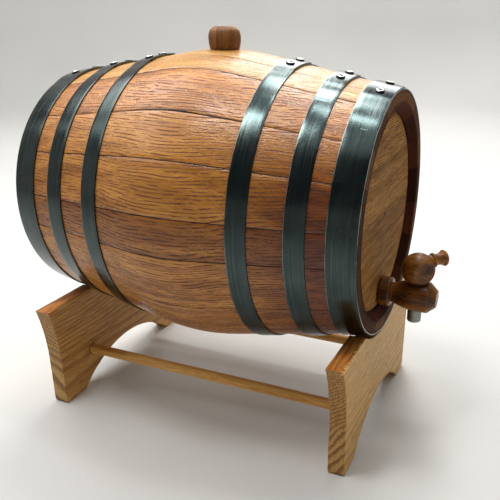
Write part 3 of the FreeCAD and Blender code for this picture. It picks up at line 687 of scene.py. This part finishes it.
def stave_points(low, high, set_back):
    """Rings of points of a stave, from its low side to its high side."""
    outer, rest = stave_section()
    edge = math.degrees(SEAM_ROUND / BILGE_RADIUS)
    steps = max(6, round((high - low) / STAVE_STEP))
    inner_turns = [low + edge + (high - low - 2 * edge) * k / steps for k in range(1, steps)]
    turns = [low + across * edge for across, _ in SEAM_CURVE] + inner_turns
    turns += [high - across * edge for across, _ in reversed(SEAM_CURVE)]
    drops = [drop for _, drop in SEAM_CURVE]
    drops += [0.0] * len(inner_turns) + drops[::-1]
    rings = []
    for turn, drop in zip(turns, drops):
        lowered = drop * SEAM_ROUND + set_back
        ring = [on_cask(along, radius - lowered, turn) for along, radius in outer]
        ring += [on_cask(along, radius, turn) for along, radius in rest]
        rings.append(ring)
    return rings


def crack_width(along):
    """Width of the open joint at that place, from 0 to 1."""
    for (x0, wide0), (x1, wide1) in zip(CRACK, CRACK[1:]):
        if x0 <= along < x1:
            return wide0 + (wide1 - wide0) * (along - x0) / (x1 - x0)
    return 0.0


def part_way(value, start, length):
    """How far a value has come from start over that length, from 0 to 1."""
    return min(1.0, max(0.0, value - start) / length)


def note_stave(piece, number, low, high, offset):
    """Keep what the finish needs: the grain's run, seams, painted hoop shadows and cut ends."""
    edges = hoop_edges()
    middle = (low + high) / 2
    grain, side, soot, end_grain, crack, stain = [], [], [], [], [], []
    for vertex in piece.data.vertices:
        along = vertex.co.x - CASK_X
        radius = math.hypot(vertex.co.y, vertex.co.z - CASK_Z)
        angle = (angle_of(vertex.co) - middle + 180) % 360 - 180
        across = math.radians(angle) * BILGE_RADIUS
        grain.append(Vector((along, across, BILGE_RADIUS - radius)) + offset)
        side.append(math.radians((high - low) / 2 - abs(angle)) * BILGE_RADIUS)
        skin = radius > outside(along) - 2 * SEAM_ROUND and abs(along) < CASK_HALF
        # painted shadow line: 1 on the skin at each hoop edge
        near = min(abs(along - e) for e in edges)
        soot.append(1.0 if skin and near < CLOSE else 0.0)
        # a value of 2 marks the sunk wall, which gets painted shade
        sunk = radius < CHIME_RADIUS - CHIME_LAND + CLOSE
        end_grain.append(0.0 if skin else (2.0 if sunk else 1.0))
        low_side = part_way(abs(angle_of(vertex.co)), DARKEN_BELOW, DARKEN_TURN)
        stain.append(low_side * part_way(along, DARKEN_FROM, DARKEN_OVER))
        opened = number == CRACKED and angle > 0
        crack.append(crack_width(along / MM) if opened else 0.0)
    keep_on(piece, "grain", grain, "FLOAT_VECTOR")
    for name, values in [("side", side), ("crack", crack), ("stain", stain), ("soot", soot),
                         ("end_grain", end_grain),
                         ("tone", [STAVE_TONES[number - 1]] * len(grain)),
                         ("warmth", [STAVE_WARMTH[number - 1]] * len(grain))]:
        keep_on(piece, name, values)


def make_stave(number, material, end_material):
    """One stave, numbered from the bung stave, with a finish of its own on its cut ends."""
    name = "bung_stave" if number == 1 else "stave_%02d" % number
    spread = angles_of(name)
    low, high = min(spread), max(spread)
    luck = random.Random(number)
    offset = Vector([luck.uniform(0, 3) for _ in range(3)])
    rings = stave_points(low, high, luck.uniform(0.0, SET_BACK))
    mesh = lofted(name + "_oak", rings)
    if number == 1:
        mesh = bored(mesh, bung_hole())
    piece = new_piece(mesh, "cask", material)
    note_stave(piece, number, low, high, offset)
    piece.data.materials.append(end_material)
    ends = piece.data.attributes["end_grain"].data
    for face in piece.data.polygons:
        face.material_index = int(any(ends[k].value > 0.5 for k in face.vertices))
    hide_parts(name)


def bung_hole():
    """The space of the tapered bung hole, as a mesh to cut away."""
    rings = []
    for height in (-2.0, -1.0, 0.0, 0.5, 1.0):
        ring = ring_of(HOLE_RADIUS + HOLE_TAPER * height, CROWN + height * STAVE_THICKNESS, 72)
        rings.append([(CASK_X + x, y, z) for x, y, z in ring])
    return lofted("bung_hole_space", rings)


# ---- hoops

# knocks in the hoops: angle, place across the width, spread and depth in mm
KNOCKS = {
    "front_quarter_hoop": [(31.5, 1.0, 2.0, 0.4), (48.5, 1.0, 2.0, 0.4)],
    "front_head_hoop": [(42.0, 0.3, 3.5, 0.2), (83.0, 0.5, 1.2, 0.2), (66.0, 0.8, 5.0, 0.12)],
    "front_bilge_hoop": [(36.0, 0.6, 4.0, 0.12)],
}
# degrees from one ring of a hoop to the next, and how much its corners are eased
HOOP_STEP = 1.5
HOOP_CORNER = 0.12 * MM
# how far a hoop strays from its line and over what length, then how uneven its face is,
# and the size of that round the cask and across
HOOP_BOW = 0.1 * MM
BOW_LENGTH = 30 * MM
HOOP_WAVE = 0.05 * MM
WAVE_SIZE = (13 * MM, 8 * MM)
# places across a hoop's width, and how much its first and last edges get the pale rim, partly
# wear and partly painted highlight
HOOP_SHARES = (0.0, 0.08, 0.2, 0.35, 0.5, 0.65, 0.8, 0.92, 1.0)
EDGE_WEAR_AND_HIGHLIGHT = (1.0, 0.72)


def knocked(label, angle, share, radius, width):
    """How far the knocks of a hoop press it in at that place."""
    depth = 0.0
    for at, across, spread, deep in KNOCKS.get(label, []):
        away = math.hypot(math.radians(angle - at) * radius, (share - across) * width)
        depth += deep * MM * math.exp(-(away / (spread * MM)) ** 2)
    return depth


def rivet_angles(label):
    """Angles of the two rivets of a hoop, and of the middle between them."""
    found = sorted(angles_of(label + "_rivets"))
    middle = (found[0] + found[-1]) / 2
    sides = [[a for a in found if a < middle], [a for a in found if a >= middle]]
    return [(side[0] + side[-1]) / 2 for side in sides], middle


def hoop_turns(label, start, lap, ramp):
    """Degrees round from the strip's start, closer at its ramp, its lap and the knocks."""
    turns = [k * HOOP_STEP for k in range(int((360 - ramp) / HOOP_STEP) + 1)]
    turns += [360 - ramp, 360 - 0.66 * ramp, 360 - 0.33 * ramp, 360.0]
    turns += [360 + lap * k / 16 for k in range(1, 17)]
    turns += [start - at + 0.5 * k for at, _, _, _ in KNOCKS.get(label, [])
              for k in range(-6, 7)]
    return sorted(set(round(t, 4) for t in turns))


def make_hoop(label, material):
    """One strip of steel: round the cask, then up over its own start."""
    low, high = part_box(label)
    x0, x1 = low.x - CASK_X, high.x - CASK_X
    width = x1 - x0
    rivets, middle = rivet_angles(label)
    radius = outside((x0 + x1) / 2)
    degrees = 180 / (math.pi * radius)
    half_lap = (abs(rivets[1] - rivets[0]) / 2) + HOOP_END * degrees
    ramp = HOOP_RAMP * degrees
    start = middle + half_lap
    last = len(HOOP_SHARES) - 1
    rings, strip, rim = [], [], []
    for turn in hoop_turns(label, start, 2 * half_lap, ramp):
        angle = start - turn
        round_about = math.radians(angle) * radius
        layer = part_way(turn, 360 - ramp, ramp)
        under = (HOOP_CLEARANCE + layer * HOOP_THICKNESS) * SLANT
        over = under + HOOP_THICKNESS * SLANT
        bow = HOOP_BOW * noise.noise(Vector((round_about / BOW_LENGTH, x0 * 90, layer * 7)))
        ring = []
        for place, share in enumerate(HOOP_SHARES):
            along = x0 + bow + width * share
            at_edge = place in (0, last)
            wave = noise.noise(Vector((round_about / WAVE_SIZE[0], along / WAVE_SIZE[1],
                                       layer * 5)))
            rise = over - HOOP_CORNER if at_edge else over + HOOP_WAVE * wave
            rise -= knocked(label, angle, share, radius, width)
            along += 0 if not at_edge else (HOOP_CORNER / 3 if place else -HOOP_CORNER / 3)
            ring.append((max(-CASK_HALF, min(CASK_HALF, along)), rise))
        # pale rim at the edges: partly wear, partly painted highlight
        rim += [EDGE_WEAR_AND_HIGHLIGHT[0]] + [0.0] * (last - 1) + [EDGE_WEAR_AND_HIGHLIGHT[1]]
        ring += [(min(x1 + bow, CASK_HALF), under), ((x0 + x1) / 2 + bow, under),
                 (max(x0 + bow, -CASK_HALF), under)]
        rim += [EDGE_WEAR_AND_HIGHLIGHT[1], 0.0, EDGE_WEAR_AND_HIGHLIGHT[0]]
        strip += [(round_about + 10 * x0, along, rise) for along, rise in ring]
        rings.append([on_cask(along, straight_outside(along) + rise, angle)
                      for along, rise in ring])
    piece = new_piece(lofted(label + "_strip", rings), "cask", material, 50)
    keep_on(piece, "strip", strip, "FLOAT_VECTOR")
    keep_on(piece, "rim", rim)
    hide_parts(label)


# ---- rivets

# radii and heights of a rivet head in millimetres, from its foot over its crest to its dimple
RIVET_SECTION = [
    (2.95, 0.0), (3.0, 0.12), (2.93, 0.45), (2.72, 0.8), (2.42, 1.08), (2.1, 1.24),
    (1.85, 1.29), (1.6, 1.22), (1.4, 1.02), (1.22, 0.75), (1.0, 0.6), (0.5, 0.57)]
# the height in millimetres from which it is bright, and how much higher it is fully so
RIVET_BRIGHT = (0.6, 0.7)
# its small dents, then how far a rivet may lean and turn in radians, and the seed for that
RIVET_DENT = 0.05 * MM
DENT_SIZE = 1.4 * MM
RIVET_TILT, RIVET_TURN = 0.05, 6.28
RIVET_SEED = 4


def rivet_head():
    """A rounded rivet head, punched in the middle, that stands where Z is zero."""
    rings = [ring_of(radius * MM, height * MM) for radius, height in RIVET_SECTION]
    for ring in rings[1:]:
        for k, (x, y, z) in enumerate(ring):
            dent = RIVET_DENT * noise.noise(Vector((x, y, z)) / DENT_SIZE)
            ring[k] = (x, y, z + dent)
    mesh = lofted("rivet_head", rings)
    mesh.shade_smooth()
    crest = mesh.attributes.new("crest", "FLOAT", "POINT")
    crest.data.foreach_set("value", [part_way(height, *RIVET_BRIGHT)
                                     for _, height in RIVET_SECTION for _ in rings[0]])
    return mesh


def make_rivets(material):
    """All rivets, stood on their hoops by one node group."""
    places, away = [], []
    for label in HOOPS:
        low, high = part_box(label)
        along = (low.x + high.x) / 2 - CASK_X
        side = 1 if along > 0 else -1
        for angle in rivet_angles(label)[0]:
            foot = on_cask(along, straight_outside(along), angle)
            out = on_cask(along + side * SLOPE, 1 + straight_outside(along), angle) - foot
            away.append(out.normalized())
            places.append(foot + out.normalized() * 2 * (HOOP_THICKNESS + HOOP_CLEARANCE))
    seeds = bpy.data.meshes.new("rivets")
    seeds.from_pydata([tuple(place) for place in places], [], [])
    holder = linked("rivets_set", seeds)
    keep_on(holder, "away", away, "FLOAT_VECTOR")
    head = linked("rivet_head", rivet_head())
    scatter = holder.modifiers.new("stand", "NODES")
    scatter.node_group, names = standing_group()
    scatter[names["Head"]] = head
    scatter[names["Seed"]] = RIVET_SEED
    scatter[names["Finish"]] = material
    mesh = as_plain("rivets_set", holder)
    bpy.data.objects.remove(head)
    piece = new_piece(mesh, "cask", material, 60)
    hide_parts(*[label + "_rivets" for label in HOOPS])


def standing_group():
    """Nodes that stand a head on every point, along the way that the point keeps."""
    group = bpy.data.node_groups.new("stand_on_points", "GeometryNodeTree")
    face = group.interface
    sockets = [("Points", "NodeSocketGeometry"), ("Head", "NodeSocketObject"),
               ("Seed", "NodeSocketInt"), ("Finish", "NodeSocketMaterial")]
    names = {name: face.new_socket(name, in_out="INPUT", socket_type=kind).identifier
             for name, kind in sockets}
    made = face.new_socket("Mesh", in_out="OUTPUT", socket_type="NodeSocketGeometry").identifier

    def node(kind, settings=None, inputs=None):
        return {s.identifier: s for s in add_node(group, kind, settings, inputs).outputs}

    given = node("NodeGroupInput")
    source = node("GeometryNodeObjectInfo", None, {"Object": given[names["Head"]]})
    away = node("GeometryNodeInputNamedAttribute", {"data_type": "FLOAT_VECTOR"},
                {"Name": "away"})
    stood = node("FunctionNodeAlignRotationToVector", {"axis": "Z"},
                 {"Vector": away["Attribute"]})
    chance = node("FunctionNodeRandomValue", {"data_type": "FLOAT_VECTOR"}, {
        "Min": (-RIVET_TILT, -RIVET_TILT, 0.0), "Max": (RIVET_TILT, RIVET_TILT, RIVET_TURN),
        "Seed": given[names["Seed"]]})
    turned = node("FunctionNodeRotateRotation", {"rotation_space": "LOCAL"}, {
        "Rotation": stood["Rotation"], "Rotate By": chance["Value"]})
    heads = node("GeometryNodeInstanceOnPoints", None, {
        "Points": given[names["Points"]], "Instance": source["Geometry"],
        "Rotation": turned["Rotation"]})
    real = node("GeometryNodeRealizeInstances", None, {"Geometry": heads["Instances"]})
    finished = node("GeometryNodeSetMaterial", None, {
        "Geometry": real["Geometry"], "Material": given[names["Finish"]]})
    node("NodeGroupOutput", None, {made: finished["Geometry"]})
    return group, names


# ---- turned pieces

# millimetres from one swelling of a turned piece to the next
WOBBLE_SIZE = 6


def arc(start, end, centre, count):
    """Points on the shorter arc from start to end, without the start itself."""
    first = math.atan2(start[1] - centre[1], start[0] - centre[0])
    last = math.atan2(end[1] - centre[1], end[0] - centre[0])
    swing = (last - first + math.pi) % (2 * math.pi) - math.pi
    radius = math.dist(start, centre)
    return [(centre[0] + radius * math.cos(first + swing * k / count),
             centre[1] + radius * math.sin(first + swing * k / count))
            for k in range(1, count + 1)]


def centre_of(start, end, height):
    """Centre, at that height, of the arc through both points."""
    (x1, y1), (x2, y2) = start, end
    spread = x2 ** 2 - x1 ** 2 + y2 ** 2 - y1 ** 2
    return (spread - 2 * height * (y2 - y1)) / (2 * (x2 - x1)), height


def turned_mesh(name, section, matrix, around=96, wobble=0.04):
    """A turned shape from radii and heights in millimetres, along Z of the matrix."""
    rings = []
    for radius, height in section:
        ring = []
        for x, y, z in ring_of(radius, height, around):
            uneven = wobble * noise.noise(Vector((x, y, z)) / WOBBLE_SIZE)
            swell = 1 + uneven / max(radius, 2)
            ring.append(matrix @ (Vector((x * swell, y * swell, z)) * MM))
        rings.append(ring)
    return lofted(name, rings)


def make_bung(material):
    """The bung: a tapered shank under a barrel-shaped head with soft edges."""
    seat, belly, shoulder, lip = (10.3, 0.25), (11.3, 7.5), (10.0, 12.4), (7.0, 14.62)
    section = [(1.0, -15.0), (8.5, -15.0), (8.8, -14.7), (9.65, -0.05), (10.15, 0.02), seat]
    for start, end, centre_height, count in [
            (seat, belly, 7.5, 8), (belly, shoulder, 7.5, 8), (shoulder, lip, 3.75, 5)]:
        section += arc(start, end, centre_of(start, end, centre_height), count)
    section += [(6.5, 14.75), (6.0, 14.79), (3.0, 14.77), (0.8, 14.75)]
    mesh = turned_mesh("bung_turned", section, Matrix.Translation((CASK_X, 0.0, CROWN)))
    piece = new_piece(mesh, "bung", material)
    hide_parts("bung")


# ---- stand

# in millimetres: the boards' half width at the feet, the waist's height, the arch and the edges
FOOT_HALF = {"front_cradle": 83.0, "rear_cradle": 85.5}
WAIST, ARCH_HALF, ARCH_HEIGHT, FOOT_ROUND = 37.0, 62.0, 24.5, 2.5
EDGE_BREAK = 0.5
EDGE_UNEVEN = (0.25, 0.75)
DOWEL_RADIUS, DOWEL_CHAMFER = 4.0, 0.4


def board_outline(label):
    """Outline of a stand board in millimetres of Y and Z, once round."""
    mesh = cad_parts[label].data
    seat = min(math.hypot(v.co.y, v.co.z - CASK_Z) for v in mesh.vertices) / MM
    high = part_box(label)[1]
    top, tip, up = high.z / MM, high.y / MM, CASK_Z / MM
    corner = math.sqrt(seat ** 2 - (up - top) ** 2)
    foot = FOOT_HALF[label]
    sole, heel = (foot - FOOT_ROUND, 0.0), (foot, FOOT_ROUND)
    half = [(ARCH_HALF, 0.0), sole] + arc(sole, heel, (sole[0], heel[1]), 4)
    half += [(foot, heel[1] + (WAIST - heel[1]) * k / 6) for k in range(1, 7)]
    half += arc(half[-1], (tip, top), centre_of(half[-1], (tip, top), WAIST), 16)
    half += [(tip + (corner - tip) * k / 5, top) for k in range(1, 6)]
    seat_arc = arc((corner, top), (-corner, top), (0.0, up), 48)[:-1]
    other_half = [(-y, z) for y, z in reversed(half)]
    centre = (0.0, (ARCH_HEIGHT ** 2 - ARCH_HALF ** 2) / (2 * ARCH_HEIGHT))
    arch = arc((-ARCH_HALF, 0.0), (ARCH_HALF, 0.0), centre, 40)[:-1]
    return half + seat_arc + other_half + arch


def drawn_in(outline, amounts):
    """The outline moved inward at each corner by that amount."""
    made = []
    for number, (y, z) in enumerate(outline):
        before, after = outline[number - 1], outline[(number + 1) % len(outline)]
        one = Vector((y - before[0], z - before[1])).normalized()
        two = Vector((after[0] - y, after[1] - z)).normalized()
        inward = Vector((-one.y - two.y, one.x + two.x)).normalized()
        square = max(0.5, inward.dot(Vector((-one.y, one.x))))
        made.append((y + inward.x * amounts[number] / square,
                     z + inward.y * amounts[number] / square))
    return made


def make_board(label, material):
    """A sawn board with its edges broken unevenly."""
    low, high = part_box(label)
    outline = board_outline(label)
    luck = random.Random(label)
    broken = [luck.uniform(*EDGE_UNEVEN) for _ in outline]
    inner = drawn_in(outline, broken)
    x0, x1 = low.x / MM, high.x / MM
    between = [x0 + (x1 - x0) * k / 6 for k in range(1, 6)]
    sections = [(x0, inner), (x0 + EDGE_BREAK, outline)]
    sections += [(x, outline) for x in between]
    sections += [(x1 - EDGE_BREAK, outline), (x1, inner)]
    rings = [[Vector((x, y, z)) * MM for y, z in section] for x, section in sections]
    piece = new_piece(lofted(label + "_board", rings), "stand", material, 25)
    normals = [face.normal for face in piece.data.polygons]
    keep_on(piece, "cut_end", [abs(n.y) for n in normals], domain="FACE")
    keep_on(piece, "cut_top", [max(0.0, n.z) for n in normals], domain="FACE")
    # painted fill light on the front board's outer face only
    faded = 1.0 if label == "front_cradle" else 0.0
    keep_on(piece, "faded", [faded * max(0.0, n.x) for n in normals], domain="FACE")
    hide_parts(label)


def make_dowel(label, side, material):
    """A dowel with its ends broken, on that side of the cask."""
    low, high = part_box(label)
    length = (high.x - low.x) / MM
    end = DOWEL_RADIUS - DOWEL_CHAMFER
    section = [(end, 0.0), (DOWEL_RADIUS, DOWEL_CHAMFER)]
    section += [(DOWEL_RADIUS, length * k / 24) for k in range(1, 24)]
    section += [(DOWEL_RADIUS, length - DOWEL_CHAMFER), (end, length)]
    along = Matrix.Translation((low.x, side * DOWEL_Y, DOWEL_Z))
    mesh = turned_mesh(label + "_rod", section, along @ Matrix.Rotation(math.pi / 2, 4, "Y"),
                       48, 0.08)
    piece = new_piece(mesh, "stand", material)
    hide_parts(label)


# ---- floor and camera

# the floor's flat radius, the radius of its sweep, and the wall's height behind the cask
FLOOR_FLAT, FLOOR_SWEEP, WALL = 1.6, 0.7, 1.0
# shares of that height: at the sides, what is added behind, and what is taken off in front
WALL_SIDES, WALL_BEHIND, WALL_FRONT = 0.7, 0.3, 0.6


def make_floor(material):
    """A flat round floor whose edge sweeps up into a wall, lower on the camera's side."""
    around = 96
    rings = []
    for k in range(13):
        turn = math.radians(90 * k / 12)
        rings.append(ring_of(FLOOR_FLAT + FLOOR_SWEEP * math.sin(turn),
                             FLOOR_SWEEP * (1 - math.cos(turn)), around))
    brim = rings[-1]
    for k in range(1, 7):
        ring = []
        for x, y, _ in brim:
            lean = (WALL_BEHIND if y > 0 else WALL_FRONT) * y / (FLOOR_FLAT + FLOOR_SWEEP)
            ring.append((x, y, FLOOR_SWEEP + WALL * k / 6 * (WALL_SIDES + lean)))
        rings.append(ring)
    points = [point for ring in rings for point in ring]
    sweep = [tuple(reversed(face)) for face in faces_between(rings, capped=False)]
    mesh = bpy.data.meshes.new("floor")
    mesh.from_pydata(points, [], sweep + [tuple(range(around))])
    mesh.materials.append(material)
    mesh.update()
    mesh.shade_smooth()
    linked("floor", mesh)


def softbox(name, place, target, width, height, watts):
    """A soft light that looks at its target."""
    light = bpy.data.lights.new(name, "AREA")
    light.shape = "RECTANGLE"
    light.size = width
    light.size_y = height
    light.energy = watts
    lamp = bpy.data.objects.new(name, light)
    lamp.location = place
    away = Vector(place) - Vector(target)
    lamp.rotation_euler = away.to_track_quat("Z", "Y").to_euler()
    bpy.context.scene.collection.objects.link(lamp)


# the point that the soft lights look at; then their name, way from there, distance, width,
# height and watts
LIT_POINT = Vector((0.0, 0.0, 0.16))
LIGHTS = [
    ("sky", (0.25, 0.15, 0.95), 1.9, 2.0, 2.0, 12),
    ("key", (-0.60, 0.12, 0.79), 1.3, 0.6, 0.7, 7),
    ("front_left", (-0.65, -0.35, 0.68), 1.4, 0.8, 0.6, 4.4),
    ("left_side", (-0.90, -0.38, 0.20), 1.8, 1.2, 0.9, 0.5),
    ("overhead", (-0.16, -0.26, 0.95), 1.2, 0.18, 0.3, 5.6),
    ("top", (-0.08, 0.42, 0.90), 1.2, 0.24, 0.28, 4.5),
    ("glint", (0.04, 0.12, 0.99), 1.28, 0.2, 0.1, 2.2),
    ("behind", (-0.27, 0.68, 0.68), 1.4, 0.4, 0.4, 4),
    ("window", (-0.15, 0.88, 0.45), 1.9, 0.8, 0.6, 6),
]
SURROUND = (0.95, 0.96, 1.0, 1.0)
SURROUND_STRENGTH = 0.12


def light_scene():
    for name, way, reach, width, height, watts in LIGHTS:
        softbox(name, LIT_POINT + Vector(way) * reach, LIT_POINT, width, height, watts)
    softbox("backdrop", (-0.2, 0.9, 1.7), (-0.2, 2.3, 0.3), 1.8, 0.5, 18)
    world = bpy.data.worlds.new("studio")
    bpy.context.scene.world = world
    world.use_nodes = True
    background = world.node_tree.nodes["Background"].inputs
    background["Color"].default_value = SURROUND
    background["Strength"].default_value = SURROUND_STRENGTH
    bpy.context.scene.view_settings.view_transform = "Standard"


# the camera's place from the cask's middle, then in degrees how far it is turned round the
# cask, looks down and leans
CAMERA_FROM = Vector((0.22734, -0.43219, 0.13591))
CAMERA_AZIMUTH = 22.618
CAMERA_ELEVATION = 22.849
CAMERA_ROLL = 0.41
CAMERA_LENS = 47.448
CAMERA_SHIFT = (-0.07167, 0.05746)


def make_camera():
    place = Matrix.Translation(CAMERA_FROM + Vector((CASK_X, 0, CASK_Z)))
    for degrees, axis in [(CAMERA_AZIMUTH, "Z"), (90 - CAMERA_ELEVATION, "X"),
                          (CAMERA_ROLL, "Z")]:
        place @= Matrix.Rotation(math.radians(degrees), 4, axis)
    data = bpy.data.cameras.new("camera")
    data.lens = CAMERA_LENS
    data.shift_x, data.shift_y = CAMERA_SHIFT
    data.clip_start = 0.01
    camera = bpy.data.objects.new("camera", data)
    camera.matrix_world = place
    bpy.context.scene.collection.objects.link(camera)
    bpy.context.scene.camera = camera


# ---- make

def paint(material, *nodes):
    """Give CAD nodes their finish."""
    for node in nodes:
        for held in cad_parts[node].material_slots:
            held.material = material


oak = stave_oak()
end_oak = chime_oak()
for number in range(1, len(STAVE_TONES) + 1):
    make_stave(number, oak, end_oak)
steel = hoop_steel()
for label in HOOPS:
    make_hoop(label, steel)
make_rivets(rivet_steel())
paint(head_oak(), *["%s_head_board_%d" % (end, k)
                    for end in ("front", "rear") for k in range(1, 5)])
board_oak = stand_oak()
for label in ("front_cradle", "rear_cradle"):
    make_board(label, board_oak)
rod_wood = turned_wood("dowel_wood", 0, shade(238, 190, 116), shade(222, 168, 92),
                       shade(180, 122, 58), (0.5, 0.65), 0.0, 0.12)
make_dowel("near_dowel", -1, rod_wood)
make_dowel("far_dowel", 1, rod_wood)
make_bung(turned_wood("bung_wood", 2, shade(158, 110, 58), shade(124, 80, 38),
                      shade(76, 44, 18), (0.55, 0.7), 0.0, 0.3, 0.8))
tap_wood = turned_wood("tap_wood", 0, shade(158, 102, 36), shade(118, 70, 20),
                       shade(60, 31, 9), (0.34, 0.52), 0.12, 0.6)
paint(tap_wood, "spigot_body", "key_ball")
paint(turned_wood("handle_wood", 0, shade(192, 130, 58), shade(160, 100, 38),
                  shade(104, 60, 22), (0.4, 0.55), 0.08, 0.4), "key_handle")
paint(tube_metal(), "key_stem_tube")
make_floor(floor_paint())
light_scene()
make_camera()
